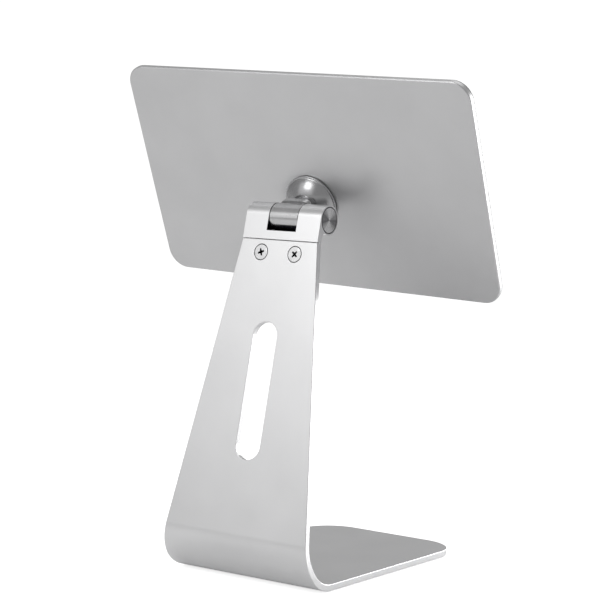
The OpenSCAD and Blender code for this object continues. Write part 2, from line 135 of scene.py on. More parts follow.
joints = {j["name"]: j for j in frame["joints"]}
mounts = {m["name"]: m for m in frame["record"]["mounts"]}
foot_lo, foot_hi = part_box("stand_body")
block_lo, block_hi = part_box("hinge_block")
pad_lo, pad_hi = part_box("base_pad")

column_out = Vector((0, math.cos(LEAN), math.sin(LEAN)))
column_up = Vector((0, -math.sin(LEAN), math.cos(LEAN)))
bend_centre = Vector((0, foot_hi.y - BEND_R, foot_lo.z + BEND_R))
column_frame = axes(bend_centre + BEND_R * column_out, ACROSS, column_out, column_up)

hinge = Vector(joints["plate_tilt"]["pos_m"])
hinge_frame = axes(hinge, ACROSS, column_out, column_up)

swivel = Vector(joints["plate_swivel"]["pos_m"])
plate_out = -Vector(joints["plate_swivel"]["axis"]).normalized()
arm_up = ACROSS.cross(plate_out)
arm_frame = axes(hinge, ACROSS, plate_out, arm_up)
swivel_frame = axes(swivel, ACROSS, -arm_up, plate_out)

plate_centre = Vector(mounts["tablet_face"]["pos_m"]) + (PANEL_T + LINER_T) * plate_out
plate_up = (plate_centre - swivel).normalized()
panel_frame = axes(plate_centre, (-plate_up).cross(plate_out), -plate_up, plate_out)

hinge_up = (column_frame.inverted() @ hinge).z - COLUMN_L
reach = (hinge - swivel).length
dome_seat = reach - DOME_H
head_w = block_hi.x - block_lo.x
cap_lo, cap_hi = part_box("end_cap_left")
cap_radius = (cap_hi.z - cap_lo.z) / 2


def facing(side):
    """The frame on the hinge axis whose Z points out of side +1 or -1."""
    out = side * ACROSS
    return axes(hinge, column_up, out.cross(column_up), out)


def screw_frame(side):
    """The frame on the axis of the screw on side +1 or -1, whose Z points out of the column."""
    at = column_frame @ Vector((side * SCREW_SPACING / 2, 0, COLUMN_L - SCREW_DROP))
    return axes(at, column_up.cross(column_out), column_up, column_out)


# ---- Outlines ----


def arc(centre, radius, start, end, steps):
    """Points on a circle from angle start to angle end, in degrees."""
    angles = [math.radians(start + (end - start) * i / steps) for i in range(steps + 1)]
    x, y = centre
    return [Vector((x + radius * math.cos(a), y + radius * math.sin(a))) for a in angles]


def filleted(corners, step=12, closed=True):
    """The outline through corners (x, y, radius), rounded with a point every step degrees."""
    points = []
    count = len(corners)
    for i, (x, y, radius) in enumerate(corners):
        here = Vector((x, y))
        ends = not closed and i in (0, count - 1)
        if radius == 0 or ends:
            points.append(here)
            continue
        back = (Vector(corners[i - 1][:2]) - here).normalized()
        on = (Vector(corners[(i + 1) % count][:2]) - here).normalized()
        opening = back.angle(on)
        reach_along = radius / math.tan(opening / 2)
        first, last = here + back * reach_along, here + on * reach_along
        centre = here + (back + on).normalized() * (radius / math.sin(opening / 2))
        turn = math.pi - opening
        steps = max(2, math.ceil(math.degrees(turn) / step))
        sense = 1 if (first - centre).cross(last - centre) > 0 else -1
        start = first - centre
        for k in range(steps + 1):
            a = sense * turn * k / steps
            c, s = math.cos(a), math.sin(a)
            points.append(centre + Vector((start.x * c - start.y * s, start.x * s + start.y * c)))
    return points


def inset(loop, distance):
    """The closed anticlockwise loop moved in by distance."""
    moved = []
    for i, point in enumerate(loop):
        before = (point - loop[i - 1]).normalized()
        after = (loop[(i + 1) % len(loop)] - point).normalized()
        normal = Vector((-before.y - after.y, before.x + after.x)).normalized()
        share = max(0.3, normal.dot(Vector((-before.y, before.x))))
        moved.append(point + normal * (distance / share))
    return moved


def round_rect(width, height, radii, centre=(0, 0)):
    """An anticlockwise rectangle with corner radii for -X-Y, +X-Y, +X+Y and -X+Y."""
    x0, x1 = centre[0] - width / 2, centre[0] + width / 2
    y0, y1 = centre[1] - height / 2, centre[1] + height / 2
    corners = [(x0, y0), (x1, y0), (x1, y1), (x0, y1)]
    return filleted([(x, y, r) for (x, y), r in zip(corners, radii)], step=6)


def disc(radius, centre=(0, 0), steps=96):
    """An anticlockwise circle."""
    return arc(centre, radius, 0, 360 - 360 / steps, steps - 1)


def edge_layers(thickness, top, bottom, steps=3):
    """(inset, depth) pairs down the wall of a slab whose two edges are rounded by top and bottom."""
    turns = [math.pi / 2 * i / steps for i in range(steps + 1)]
    down = [(top * (1 - math.sin(a)), top * (1 - math.cos(a))) for a in turns]
    up = [(bottom * (1 - math.sin(a)), thickness - bottom * (1 - math.cos(a))) for a in turns]
    return down + up[::-1]


# ---- Meshes ----


def ring(bm, points):
    """One closed row of vertices through 3-D points."""
    return [bm.verts.new(p) for p in points]


def skin(bm, rings):
    """Quads between each row of vertices and the next, all round."""
    for upper, lower in zip(rings, rings[1:]):
        for i in range(len(upper)):
            j = (i + 1) % len(upper)
            bm.faces.new((upper[i], upper[j], lower[j], lower[i]))


def fill(bm, outer, holes=()):
    """Closes the flat space between a row of vertices and the rows of its holes."""
    if not holes:
        bm.faces.new(outer)
        return
    rows = [outer, *holes]
    verts = [v for row in rows for v in row]
    for corners in tessellate_polygon([[v.co for v in row] for row in rows]):
        bm.faces.new([verts[i] for i in corners])


def lathe(corners, place, steps=144):
    """The solid of revolution about local Z with the closed outline corners (radius, z, fillet)."""
    outline = filleted(corners)
    bm = bmesh.new()
    columns = []
    for k in range(steps):
        a = 2 * math.pi * k / steps
        c, s = math.cos(a), math.sin(a)
        columns.append(ring(bm, [place @ Vector((p.x * c, p.x * s, p.y)) for p in outline]))
    skin(bm, columns + columns[:1])
    bmesh.ops.remove_doubles(bm, verts=bm.verts, dist=1e-8)
    return bm


def slab(outline, layers, place):
    """A flat piece: outline inset by each layer's first value at minus its second, in place's frame."""
    bm = bmesh.new()
    rings = [
        ring(bm, [place @ Vector((p.x, p.y, -depth)) for p in inset(outline, d)])
        for d, depth in layers
    ]
    skin(bm, rings)
    fill(bm, rings[0])
    fill(bm, rings[-1])
    return bm


def prism(outline, start, end, place):
    """The outline (y, z) in place's frame, drawn out along its X from start to end."""
    bm = bmesh.new()
    rows = [ring(bm, [place @ Vector((x, p.x, p.y)) for p in outline]) for x in (start, end)]
    skin(bm, rows)
    fill(bm, rows[0])
    fill(bm, rows[1])
    return bm


def solid(bm, name):
    """A mesh object from bm, with its faces turned outwards."""
    bmesh.ops.recalc_face_normals(bm, faces=bm.faces)
    mesh = bpy.data.meshes.new(name)
    bm.to_mesh(mesh)
    bm.free()
    obj = bpy.data.objects.new(name, mesh)
    bpy.context.scene.collection.objects.link(obj)
    return obj


def carve(obj, operation, *tools):
    """Joins the tool meshes to obj with UNION, or cuts them out of it with DIFFERENCE."""
    for bm in tools:
        tool = solid(bm, "tool")
        change = obj.modifiers.new("carve", "BOOLEAN")
        change.operation = operation
        change.solver = "EXACT"
        change.object = tool
        bpy.context.view_layer.update()
        result = obj.evaluated_get(bpy.context.evaluated_depsgraph_get())
        mesh = bpy.data.meshes.new_from_object(result)
        obj.modifiers.clear()
        obj.data = mesh
        bpy.data.objects.remove(tool)
    return obj


def soften(obj, width, segments=2, angle=30):
    """Rounds the sharp edges of a carved piece."""
    weld = obj.modifiers.new("weld", "WELD")
    weld.merge_threshold = 0.002 * MM
    flat = obj.modifiers.new("flat", "DECIMATE")
    flat.decimate_type = "DISSOLVE"
    flat.angle_limit = math.radians(0.5)
    bevel = obj.modifiers.new("edges", "BEVEL")
    bevel.width = width
    bevel.segments = segments
    bevel.limit_method = "ANGLE"
    bevel.angle_limit = math.radians(angle)
    bevel.use_clamp_overlap = True
    bevel.miter_outer = "MITER_ARC"
    return obj


def piece(obj, body, node, slot, *materials, sharp=35):
    """obj is a finished piece of the object: it rides on body and stands for the CAD node."""
    obj.data.materials.clear()
    for material in materials:
        obj.data.materials.append(material)
    obj.data.shade_smooth()
    obj.data.set_sharp_from_angle(angle=math.radians(sharp))
    weighted = obj.modifiers.new("normals", "WEIGHTED_NORMAL")
    weighted.keep_sharp = True
    weighted.weight = 90
    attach(obj, body)
    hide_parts(node)
    return obj


# ---- Materials ----


# Near black of the painted shade in the hinge block's notch.
PAINTED_SHADE_BLACK = 0.015
SCREW_SHADE = 0.68
# Size, in radians, of the unevenness in the highlight fans painted on the end discs.
HIGHLIGHT_FAN_WIDTH = 0.35


class Look:
    """A material made of nodes, measured in the part's own frame."""

    def __init__(self, name, colour, metallic, roughness, **sockets):
        self.material = bpy.data.materials.new(name)
        self.material.use_nodes = True
        self.tree = self.material.node_tree
        self.shader = self.tree.nodes["Principled BSDF"]
        self.place = self.node("ShaderNodeTexCoord").outputs["Object"]
        self.set("Base Color", (*colour, 1))
        self.set("Metallic", metallic)
        self.set("Roughness", roughness)
        for socket, value in sockets.items():
            self.set(socket.replace("_", " "), value)
        self.height = None

    def set(self, socket, value):
        self.shader.inputs[socket].default_value = value

    def node(self, kind, **props):
        made = self.tree.nodes.new(kind)
        for key, value in props.items():
            setattr(made, key, value)
        return made

    def feed(self, node, name, value):
        """Links a socket, or sets a number, on one of node's inputs."""
        if isinstance(value, bpy.types.NodeSocket):
            self.tree.links.new(value, node.inputs[name])
        else:
            node.inputs[name].default_value = value

    def maths(self, operation, a, b=0.0, c=0.0):
        made = self.node("ShaderNodeMath", operation=operation)
        self.feed(made, 0, a)
        self.feed(made, 1, b)
        self.feed(made, 2, c)
        return made.outputs[0]

    def vectors(self, operation, a, b=(0, 0, 0)):
        made = self.node("ShaderNodeVectorMath", operation=operation)
        self.feed(made, 0, a)
        self.feed(made, 1, b)
        return made.outputs["Value" if operation in ("LENGTH", "DOT_PRODUCT") else "Vector"]

    def noise(self, size, detail=2.0, where=None, stretch=(1, 1, 1)):
        """Noise from 0 to 1 whose features are about size metres wide."""
        made = self.node("ShaderNodeTexNoise")
        vector = self.vectors("MULTIPLY", where or self.place, stretch)
        self.feed(made, "Vector", vector)
        self.feed(made, "Scale", 1 / size)
        self.feed(made, "Detail", detail)
        return made.outputs["Fac"]

    def lines(self, value, size, detail=2.0):
        """Noise that changes only with value, a length in metres."""
        made = self.node("ShaderNodeTexNoise", noise_dimensions="1D")
        self.feed(made, "W", value)
        self.feed(made, "Scale", 1 / size)
        self.feed(made, "Detail", detail)
        return made.outputs["Fac"]

    def radius(self, origin, axis):
        """Distance from the line through origin along axis."""
        offset = self.vectors("SUBTRACT", self.place, origin)
        return self.vectors("LENGTH", self.vectors("CROSS_PRODUCT", offset, axis))

    def between(self, value, low, high, from_low=0.3, from_high=0.7):
        made = self.node("ShaderNodeMapRange")
        ends = {"From Min": from_low, "From Max": from_high, "To Min": low, "To Max": high}
        for name, number in ends.items():
            self.feed(made, name, number)
        self.feed(made, "Value", value)
        return made.outputs["Result"]

    def tint(self, factor, dark, light):
        """Colours the surface from dark to light as factor goes from 0 to 1."""
        mix = self.node("ShaderNodeMix", data_type="RGBA")
        self.feed(mix, "Factor", factor)
        mix.inputs["A"].default_value = (*dark, 1)
        mix.inputs["B"].default_value = (*light, 1)
        self.tree.links.new(mix.outputs["Result"], self.shader.inputs["Base Color"])
        return self

    def rough(self, factor, low, high):
        self.tree.links.new(self.between(factor, low, high), self.shader.inputs["Roughness"])
        return self

    def bump(self, height, depth):
        """Adds relief: height from 0 to 1 stands for depth metres."""
        made = self.node("ShaderNodeBump")
        made.inputs["Strength"].default_value = 1.0
        made.inputs["Distance"].default_value = depth
        self.tree.links.new(height, made.inputs["Height"])
        if self.height is not None:
            self.tree.links.new(self.height, made.inputs["Normal"])
        self.height = made.outputs["Normal"]
        self.tree.links.new(self.height, self.shader.inputs["Normal"])
        return self


def grey(value, warmth=0.0):
    return (value * (1 + warmth), value, value * (1 - warmth) + 0.006)


def anodised(name, shade, roughness, shaded=None):
    """Bead-blasted silver anodising: an even fine grain with faint clouds in tone and gloss.

    shaded(look), if given, is 0 where shade is painted on the metal nearly black and 1 elsewhere.
    """
    look = Look(name, grey(shade), 1.0, roughness)
    clouds = look.noise(38 * MM, 3)
    tone = look.between(clouds, 0.955, 1)
    # Painted shade: the tone drops to near black where shaded(look) is 0.
    if shaded:
        tone = look.maths("MULTIPLY", tone, shaded(look))
    look.tint(tone, grey(PAINTED_SHADE_BLACK), grey(shade * 1.02))
    look.rough(look.noise(22 * MM, 2), roughness - 0.025, roughness + 0.025)
    look.bump(look.noise(0.32 * MM, 2), 0.0035 * MM)
    look.bump(look.noise(2.2 * MM, 2), 0.004 * MM)
    return look.material


def turned(name, shade, roughness, coordinate):
    """Satin turned metal: fine tool lines that follow coordinate(look)."""
    look = Look(name, grey(shade), 1.0, roughness)
    lines = look.lines(coordinate(look), 0.16 * MM, 3)
    look.tint(look.between(lines, 0, 1), grey(shade * 0.95), grey(shade * 1.03))
    look.rough(look.noise(6 * MM, 2), roughness - 0.03, roughness + 0.03)
    look.bump(lines, 0.0016 * MM)
    look.bump(look.noise(0.3 * MM, 2), 0.0015 * MM)
    return look.material


def spun(name, shade):
    """The hinge's end discs: spun rings, with painted highlight fans, painted shade between them and painted shade
    in the seam at the edge.
    """
    look = Look(name, grey(shade), 1.0, 0.3, Anisotropic=0.85)
    distance = look.radius(hinge, ACROSS)
    rings = look.lines(distance, 0.12 * MM, 3)
    offset = look.vectors("SUBTRACT", look.place, hinge)
    up, out = (look.vectors("DOT_PRODUCT", offset, axis) for axis in (column_up, column_out))
    # Painted highlight and shade: bright fans up and down the disc and dark ones between, fixed to the part.
    angle = look.maths("ARCTAN2", out, up)
    fans = look.maths("COSINE", look.maths("MULTIPLY", angle, 2))
    uneven = look.maths("SUBTRACT", look.lines(angle, HIGHLIGHT_FAN_WIDTH, 2), 0.5)
    light = look.maths("ADD", fans, look.maths("MULTIPLY", uneven, 1.6))
    # Painted shade: a nearly black band round the disc's edge, at the gap to the barrel.
    seam_shade_r = cap_radius - SEAM_SHADE_INSET
    seam = look.between(distance, 1, 0, seam_shade_r - 0.06 * MM, seam_shade_r + 0.06 * MM)
    painted_light_and_shade = look.maths("MULTIPLY", look.between(light, 0.25, 1, -1, 1), seam)
    # The disc's colour runs from painted shade up to painted highlight.
    look.tint(painted_light_and_shade, grey(0.02), grey(shade * 1.5))
    look.rough(rings, 0.26, 0.36)
    look.bump(rings, 0.003 * MM)
    tangent = look.node("ShaderNodeTangent", direction_type="RADIAL", axis="X")
    look.tree.links.new(tangent.outputs["Tangent"], look.shader.inputs["Tangent"])
    return look.material


def screw_steel():
    """Bright plated steel with turning marks, with shade painted dark down in its cross recesses."""
    look = Look("screw_steel", grey(SCREW_SHADE), 1.0, 0.3)
    marks = look.noise(0.5 * MM, 3)
    offset = look.vectors("SUBTRACT", look.place, column_frame.translation)
    depth = look.vectors("DOT_PRODUCT", offset, column_out)
    # Painted shade: the steel is nearly black below the column's outer face, down in the cross recesses.
    recess_shade = look.between(depth, 1, 0, -0.35 * MM, -0.12 * MM)
    look.tint(recess_shade, grey(SCREW_SHADE), grey(0.03))
    look.rough(marks, 0.26, 0.36)
    look.bump(marks, 0.004 * MM)
    return look.material


def plated(name, shade, roughness, warmth=0.0):
    """Hidden steel, bronze and nickel pieces: plating with light handling marks."""
    look = Look(name, grey(shade, warmth), 1.0, roughness)
    marks = look.noise(1.6 * MM, 4)
    look.tint(look.between(marks, 0, 1), grey(shade * 0.82, warmth), grey(shade * 1.08, warmth))
    look.rough(marks, roughness - 0.06, roughness + 0.1)
    look.bump(look.noise(0.25 * MM, 2), 0.003 * MM)
    return look.material


def soft_black(name, shade, roughness, grain, depth):
    """Matte black rubber or liner with a fine leathery grain."""
    look = Look(name, grey(shade), 0.0, roughness, Specular_IOR_Level=0.35, Sheen_Weight=0.15)
    cells = look.node("ShaderNodeTexVoronoi", feature="SMOOTH_F1")
    look.feed(cells, "Vector", look.place)
    look.feed(cells, "Scale", 1 / grain)
    cell = cells.outputs["Distance"]
    look.tint(look.between(look.noise(9 * MM, 3), 0, 1), grey(shade * 0.8), grey(shade * 1.25))
    look.rough(look.noise(3 * MM, 2), roughness - 0.05, roughness + 0.06)
    look.bump(cell, depth)
    look.bump(look.noise(grain * 0.4, 2), depth * 0.3)
    return look.material




def notch_shade_mask(look):
    """1 on the block's outside, 0 on the walls and floor of the notch, where shade is painted on nearly black."""
    offset = look.vectors("SUBTRACT", look.place, hinge)
    across = look.maths("ABSOLUTE", look.vectors("DOT_PRODUCT", offset, ACROSS))
    up = look.vectors("DOT_PRODUCT", offset, column_up)
    beside = look.between(across, 0, 1, NOTCH_W / 2 + 0.03 * MM, NOTCH_W / 2 + 0.2 * MM)
    below = look.between(up, 1, 0, NOTCH_FLOOR - 0.2 * MM, NOTCH_FLOOR - 0.03 * MM)
    return look.maths("MAXIMUM", beside, below)


silver = anodised("silver_anodised", 0.76, 0.34)
block_silver = anodised("block_anodised", 0.76, 0.34, notch_shade_mask)
# The plate's anodising is the stand's, with a darker colour painted as shade.
plate_silver_shaded = anodised("plate_anodised_shaded", 0.6, 0.38)
neck_metal = turned(
    "knuckle_satin", 0.56, 0.23, lambda look: look.vectors("DOT_PRODUCT", look.place, ACROSS)
)
# The dome's satin metal is the knuckle's, with a darker colour painted as shade.
dome_metal_shaded = turned("dome_satin_shaded", 0.4, 0.25, lambda look: look.radius(swivel, plate_out))
disc_metal = spun("end_disc_spun", 0.52)
screw_metal = screw_steel()
liner_black = soft_black("liner_black", 0.022, 0.7, 0.35 * MM, 0.02 * MM)
pad_black = soft_black("pad_rubber", 0.03, 0.78, 0.9 * MM, 0.06 * MM)
ring_black = soft_black("ring_plastic", 0.015, 0.5, 0.4 * MM, 0.01 * MM)
hidden = {
    "screw_steel": plated("plated_steel", 0.5, 0.3),
    "spring_steel": plated("spring_steel", 0.3, 0.34),
    "bearing_bronze": plated("sintered_bronze", 0.42, 0.42, 0.35),
    "magnet_nickel": plated("nickel_plate", 0.5, 0.18, 0.03),
    "black_plastic": soft_black("washer_plastic", 0.03, 0.5, 0.5 * MM, 0.01 * MM),
    "natural_plastic": soft_black("disc_plastic", 0.62, 0.45, 0.6 * MM, 0.01 * MM),
}


# ---- Foot and column ----

BEND_STEPS = 48
bend_angle = math.pi / 2 + LEAN
flat_bend = foot_hi.y - BEND_R - foot_lo.y
flat_column = flat_bend + BEND_R * bend_angle
flat_top = flat_column + COLUMN_L
half_foot = foot_hi.x


def half_width(s):
    """Half the sheet's width at s, its distance along the outer face from the foot's front edge."""
    taper = (COLUMN_FOOT_W - head_w) / 2 / COLUMN_L
    if s >= flat_column:
        return COLUMN_FOOT_W / 2 - taper * (s - flat_column)
    back = (flat_column - s) / BEND_R
    below = (BEND_R - SHEET_T / 2) * math.sin(min(back, math.pi / 2))
    return min(half_foot, COLUMN_FOOT_W / 2 + taper * below)


def bent(x, s, depth):
    """Where the point (x, s) of the flat sheet goes when it is bent, depth below its outer face."""
    if s <= flat_bend:
        return Vector((x, foot_lo.y + s, foot_lo.z + depth))
    a = min(s - flat_bend, BEND_R * bend_angle) / BEND_R - math.pi / 2
    out = Vector((0, math.cos(a), math.sin(a)))
    point = bend_centre + (BEND_R - depth) * out + max(0, s - flat_column) * column_up
    return point + x * ACROSS


def stand_body():
    """The bent sheet, laid out flat as a blank, with every edge rounded, and then bent."""
    stations = [flat_bend + (flat_column - flat_bend) * i / BEND_STEPS for i in range(BEND_STEPS + 1)]
    sides = [(half_width(s), s) for s in stations]
    corner = 0.5 * MM
    top = head_w / 2
    head = [(sides[-1][0], flat_column, 0), (top, flat_top, corner), (0, flat_top, 0)]
    right_top = filleted(head, closed=False)
    front = arc((half_foot - FRONT_R, FRONT_R), FRONT_R, -90, 0, 20)
    right = front + [Vector(p) for p in sides] + right_top[1:-1]
    left = [Vector((-p.x, p.y)) for p in reversed(right)]
    outline = right + left
    first, last = len(front), len(front) + BEND_STEPS

    bm = bmesh.new()

    def rows(loop, layers):
        return [ring(bm, [bent(p.x, p.y, depth) for p in inset(loop, d)]) for d, depth in layers]

    rim = rows(outline, edge_layers(SHEET_T, EDGE, EDGE))
    slot_centre = flat_column + SLOT_UP + SLOT_L / 2
    reach_up = (SLOT_L - SLOT_W) / 2
    slot_loop = arc((0, slot_centre - reach_up), SLOT_W / 2, 180, 360, 32)
    slot_loop += arc((0, slot_centre + reach_up), SLOT_W / 2, 0, 180, 32)
    through = [(-d, depth) for d, depth in edge_layers(SHEET_T, 0.35 * MM, 0.35 * MM)]
    slot = rows(slot_loop, through)
    screw_up = flat_top - SCREW_DROP
    sink = (SCREW_HEAD_D - SCREW_D) / 2
    lip = 0.12 * MM
    countersink = [
        (-SCREW_RING - lip, 0),
        (-SCREW_RING - lip * 0.3, lip * 0.3),
        (-SCREW_RING, lip),
        (-SCREW_RING, 0.6 * MM),
        (sink - 0.1 * MM, sink + 0.3 * MM),
        (sink - 0.1 * MM, SHEET_T),
    ]
    screw_holes = [
        rows(disc(SCREW_HEAD_D / 2, (side * SCREW_SPACING / 2, screw_up), 64), countersink)
        for side in (-1, 1)
    ]
    pad_loop = round_rect(
        pad_hi.x - pad_lo.x + 2 * PAD_GAP,
        pad_hi.y - pad_lo.y + 2 * PAD_GAP,
        [PAD_FRONT_R + PAD_GAP] * 2 + [PAD_BACK_R + PAD_GAP] * 2,
        (0, (pad_lo.y + pad_hi.y) / 2 - foot_lo.y),
    )
    recess = pad_hi.z - foot_lo.z
    pad_seat = rows(pad_loop, [(-0.2 * MM, 0), (0, 0.2 * MM), (0, recess)])

    skin(bm, rim)
    skin(bm, slot)
    for hole in screw_holes:
        skin(bm, hole)
    skin(bm, pad_seat)
    fill(bm, pad_seat[-1])
    for level, holes_in_foot in ((0, [pad_seat[0]]), (-1, [])):
        loop = rim[level]
        mirror = [len(loop) - 1 - i for i in range(len(loop))]
        foot = loop[: first + 1] + [loop[mirror[i]] for i in range(first, -1, -1)]
        fill(bm, foot, holes_in_foot)
        for i in range(first, last):
            bm.faces.new((loop[i], loop[i + 1], loop[mirror[i + 1]], loop[mirror[i]]))
        upper = loop[last : mirror[last] + 1]
        fill(bm, upper, [slot[level], *(hole[level] for hole in screw_holes)])
    obj = solid(bm, "stand_sheet")
    return piece(obj, "stand", "stand_body", "anodised_silver", silver)


def base_pad():
    """The grip pad let into the foot."""
    outline = round_rect(
        pad_hi.x - pad_lo.x,
        pad_hi.y - pad_lo.y,
        [PAD_FRONT_R] * 2 + [PAD_BACK_R] * 2,
        (0, (pad_lo.y + pad_hi.y) / 2),
    )
    place = Matrix.Translation((0, 0, pad_hi.z))
    obj = solid(slab(outline, edge_layers(pad_hi.z - pad_lo.z, FINE_EDGE, FINE_EDGE), place), "grip_pad")
    return piece(obj, "stand", "base_pad", "grip_rubber", pad_black)


# ---- Hinge block, its screws and its end discs ----


def rod(radius, start, end, place, steps=144):
    """A plain round bar along place's Z."""
    return lathe([(0, start, 0), (radius, start, 0), (radius, end, 0), (0, end, 0)], place, steps)


def box(lo, hi, place):
    """A plain block between two corners in place's frame."""
    bm = bmesh.new()
    bmesh.ops.create_cube(bm, size=1)
    middle, size = (Vector(lo) + Vector(hi)) / 2, Vector(hi) - Vector(lo)
    matrix = place @ Matrix.Translation(middle) @ Matrix.Diagonal((*size, 1))
    bmesh.ops.transform(bm, matrix=matrix, verts=bm.verts)
    return bm


def hinge_block():
    """Barrel, web and tongue, with the notch for the knuckle and the bores for the axle."""
    web = BARREL_R - SHEET_T
    seam = -hinge_up
    fillet_y = web - WEB_FILLET_R
    fillet_z = -math.sqrt((BARREL_R + WEB_FILLET_R) ** 2 - fillet_y**2)
    meet = math.degrees(math.atan2(fillet_z, fillet_y))
    ear = [Vector((BARREL_R, seam + SEAM_GAP))]
    ear += arc((0, 0), BARREL_R, 0, 360 + meet, 120)
    ear += arc((fillet_y, fillet_z), WEB_FILLET_R, 180 + meet, 0, 8)[1:]
    ear += [Vector((web, seam + SEAM_GAP))]
    obj = solid(prism(ear, -head_w / 2, head_w / 2, hinge_frame), "hinge_block_finished")
    overlap = 0.5 * MM
    tongue = [
        (web - TONGUE_T, seam - TONGUE_L, 0),
        (web, seam - TONGUE_L, 0),
        (web, seam + 2 * overlap, 0),
        (web + overlap, seam + 2 * overlap, 0),
        (web + overlap, -0.7 * BARREL_R, 0),
        (web - TONGUE_T, -0.7 * BARREL_R, 0),
    ]
    carve(obj, "UNION", prism(filleted(tongue), -TONGUE_W / 2, TONGUE_W / 2, hinge_frame))
    notch_lo = (-NOTCH_W / 2, -2 * BARREL_R, NOTCH_FLOOR)
    notch_hi = (NOTCH_W / 2, 2 * BARREL_R, 2 * BARREL_R)
    cuts = [
        box(notch_lo, notch_hi, hinge_frame),
        rod(AXLE_BORE_D / 2, -head_w, head_w, facing(1)),
    ]
    for side, cap in ((1, "end_cap_left"), (-1, "end_cap_right")):
        lo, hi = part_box(cap)
        floor = head_w / 2 - (hi.x - lo.x)
        cuts.append(rod(EAR_POCKET_D / 2, NOTCH_W / 2 + EAR_WALL, head_w, facing(side)))
        cuts.append(rod((hi.z - lo.z) / 2 + CAP_GAP, floor, head_w, facing(side)))
    for side in (-1, 1):
        cuts.append(rod(SCREW_D / 2 + 0.03 * MM, -2 * SHEET_T - 1 * MM, 1 * MM, screw_frame(side), 64))
    carve(obj, "DIFFERENCE", *cuts)
    soften(obj, 0.28 * MM)
    return piece(obj, "stand", "hinge_block", "anodised_silver", block_silver)


def cross(arm, width):
    """The outline of a cross recess whose arms are arm long and width wide."""
    w = width / 2
    quarter = [(arm, -w, w * 0.7), (arm, w, w * 0.7), (w * 1.25, w * 1.25, w * 0.6)]
    corners = []
    for k in range(4):
        c, s = [(1, 0), (0, 1), (-1, 0), (0, -1)][k]
        corners += [(x * c - y * s, x * s + y * c, r) for x, y, r in quarter]
    return filleted(corners, step=30)


def column_screws():
    """Two countersunk screws with cross recesses, turned as they happened to stop."""
    obj = None
    sink = (SCREW_HEAD_D - SCREW_D) / 2
    for side, turn in SCREW_TURNS.items():
        place = screw_frame(side) @ Matrix.Rotation(turn, 4, "Z")
        head = SCREW_HEAD_D / 2
        outline = [
            (0, 0, 0),
            (head, 0, 0.18 * MM),
            (head - 0.1 * MM, -0.35 * MM, 0),
            (SCREW_D / 2, -sink, 0.1 * MM),
            (SCREW_D / 2, -SHEET_T - TONGUE_T, 0.3 * MM),
            (0, -SHEET_T - TONGUE_T, 0),
        ]
        made = solid(lathe(outline, place, 96), "column_screw")
        recess = bmesh.new()
        rows = []
        for shrink, depth in ((1.04, 0.3 * MM), (1, -0.05 * MM), (0.82, -0.9 * MM), (0.45, -2.0 * MM)):
            loop = cross(CROSS_ARM * shrink, CROSS_W * shrink)
            rows.append(ring(recess, [place @ Vector((p.x, p.y, depth)) for p in loop]))
        skin(recess, rows)
        fill(recess, rows[0])
        fill(recess, rows[-1])
        carve(made, "DIFFERENCE", recess)
        if obj is None:
            obj = made
            obj.name = "column_screws_finished"
        else:
            bm = bmesh.new()
            bm.from_mesh(obj.data)
            bm.from_mesh(made.data)
            bm.to_mesh(obj.data)
            bm.free()
            bpy.data.objects.remove(made)
    return piece(obj, "stand", "column_screws", "screw_steel", screw_metal, sharp=40)


def end_cap(name, side):
    """The spun disc in one end of the barrel."""
    lo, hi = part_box(name)
    radius = (hi.z - lo.z) / 2
    face = head_w / 2
    back = face - (hi.x - lo.x)
    outline = [
        (0, back, 0),
        (radius, back, FINE_EDGE),
        (radius, face - 0.02 * MM, 0.3 * MM),
        (0, face - 0.02 * MM, 0),
    ]
    obj = solid(lathe(outline, facing(side)), f"{name}_disc")
    return piece(obj, "stand", name, "spun_disc", disc_metal)


# ---- Arm ----


def tilt_knuckle():
    """The knuckle between the ears, its flared neck and the spigot in the dome."""
    half = KNUCKLE_W / 2
    edge = 0.3 * MM
    place = facing(1)
    barrel = [
        (BUSH_D / 2, -half, 0), (BARREL_R, -half, edge), (BARREL_R, half, edge), (BUSH_D / 2, half, 0),
    ]
    obj = solid(lathe(barrel, place), "knuckle_and_neck")
    neck = bmesh.new()
    flare_end = dome_seat - 0.5 * MM
    wide_x, wide_z = half - 0.05 * MM, BARREL_R - 0.06 * MM
    steps = [i / 16 for i in range(17)]
    stations = [(0.6 * BARREL_R, 1)]
    for quarter in [math.pi / 2 * t for t in steps]:
        stations.append((flare_end - NECK_FLARE_L * math.cos(quarter), 1 - math.sin(quarter)))
    stations += [(dome_seat - 0.1 * MM, 0)]
    rows = []
    for along, flare in stations:
        size_x, size_z = NECK_R + flare * (wide_x - NECK_R), NECK_R + flare * (wide_z - NECK_R)
        power = 2 + (NECK_SQUARE - 2) * flare
        loop = []
        for k in range(NECK_STEPS):
            a = 2 * math.pi * k / NECK_STEPS
            c, s = math.cos(a), math.sin(a)
            radius = (abs(c / size_x) ** power + abs(s / size_z) ** power) ** (-1 / power)
            loop.append(arm_frame @ Vector((radius * c, -along, radius * s)))
        rows.append(ring(neck, loop))
    end = disc(NECK_R - 0.1 * MM, steps=NECK_STEPS)
    rows.append(ring(neck, [arm_frame @ Vector((p.x, -dome_seat, p.y)) for p in end]))
    skin(neck, rows)
    fill(neck, rows[0])
    fill(neck, rows[-1])
    spigot_place = axes(hinge, ACROSS, arm_up, -plate_out)
    spigot = rod(SPIGOT_D / 2, dome_seat - 2 * MM, dome_seat + 3.8 * MM, spigot_place, 96)
    carve(obj, "UNION", neck, spigot)
    carve(obj, "DIFFERENCE", rod(BUSH_D / 2, -half, half, place, 96))
    for side in (-1, 1):
        carve(obj, "DIFFERENCE", rod(WASHER_RECESS_D / 2, half - 0.5 * MM, half + 1 * MM, facing(side)))
    return piece(obj, "arm", "tilt_knuckle", "satin_silver", neck_metal, sharp=32)


